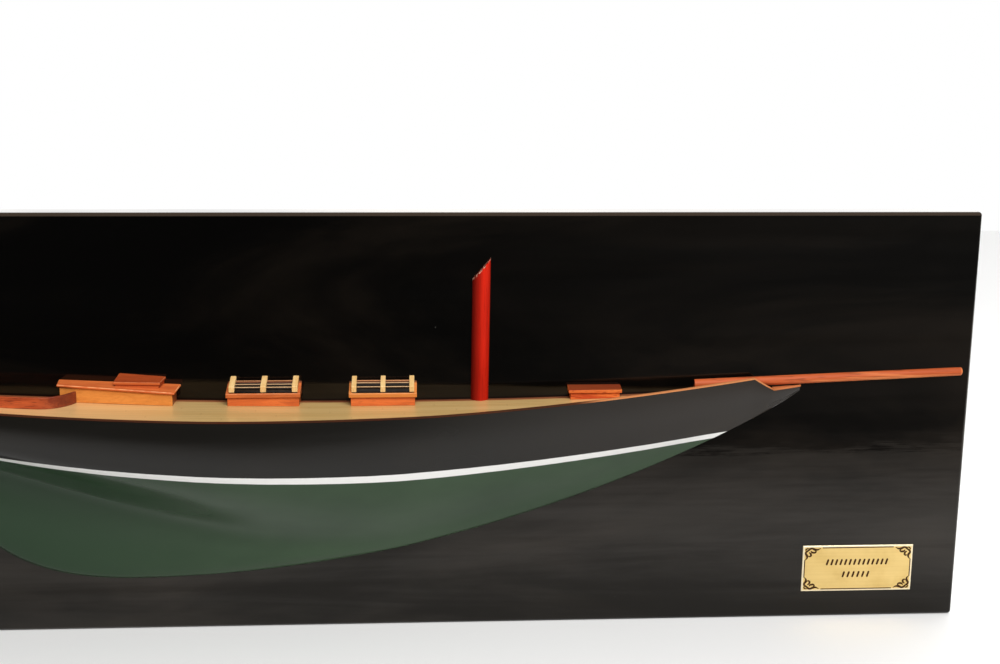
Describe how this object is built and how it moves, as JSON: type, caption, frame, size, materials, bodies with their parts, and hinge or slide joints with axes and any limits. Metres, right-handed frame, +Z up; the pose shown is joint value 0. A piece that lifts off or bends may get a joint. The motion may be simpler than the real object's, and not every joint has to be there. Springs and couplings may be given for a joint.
{
  "type": "ship half hull model",
  "caption": "Painted half hull of a long, low sailing cutter with a varnished deck, cabin, skylights and spar stubs, fixed to a glossy black wall board with a small brass plate.",
  "frame": {"origin": "middle of the board's back face", "axes": "+X along the board towards the bow, +Y into the wall, +Z up"},
  "size_m": [0.9, 0.0672, 0.26],
  "materials": {
    "board_lacquer": "black high gloss lacquer",
    "hull_paint": "satin paint, charcoal above a white line, green below",
    "deck_wood": "varnished pale planks",
    "mahogany": "varnished",
    "red_mahogany": "glossy red varnish",
    "rib_wood": "varnished pale wood",
    "dark_pane": "black, glossy",
    "brass": "brushed"
  },
  "bodies": {
    "root": {"backboard": "board_lacquer", "half_hull": "hull_paint", "deck": "deck_wood", "king_plank": "mahogany", "rail_cap": "mahogany", "stem_cap": "mahogany", "mast": "red_mahogany", "bowsprit": "mahogany", "deckhouse": "mahogany", "deckhouse_roof": "mahogany", "hatch_runners": "mahogany", "sliding_hatch": "mahogany", "cockpit_coaming": "red_mahogany", "skylight_1_box": "mahogany", "skylight_1_lid": "mahogany", "skylight_1_pane": "dark_pane", "skylight_1_rib_1": "rib_wood", "skylight_1_rib_2": "rib_wood", "skylight_1_rib_3": "rib_wood", "skylight_1_rod_1": "brass", "skylight_1_rod_2": "brass", "skylight_1_rod_3": "brass", "skylight_2_box": "mahogany", "skylight_2_lid": "mahogany", "skylight_2_pane": "dark_pane", "skylight_2_rib_1": "rib_wood", "skylight_2_rib_2": "rib_wood", "skylight_2_rib_3": "rib_wood", "skylight_2_rod_1": "brass", "skylight_2_rod_2": "brass", "skylight_2_rod_3": "brass", "fore_hatch_box": "mahogany", "fore_hatch_lid": "mahogany", "nameplate": "brass"}
  },
  "joints": []
}
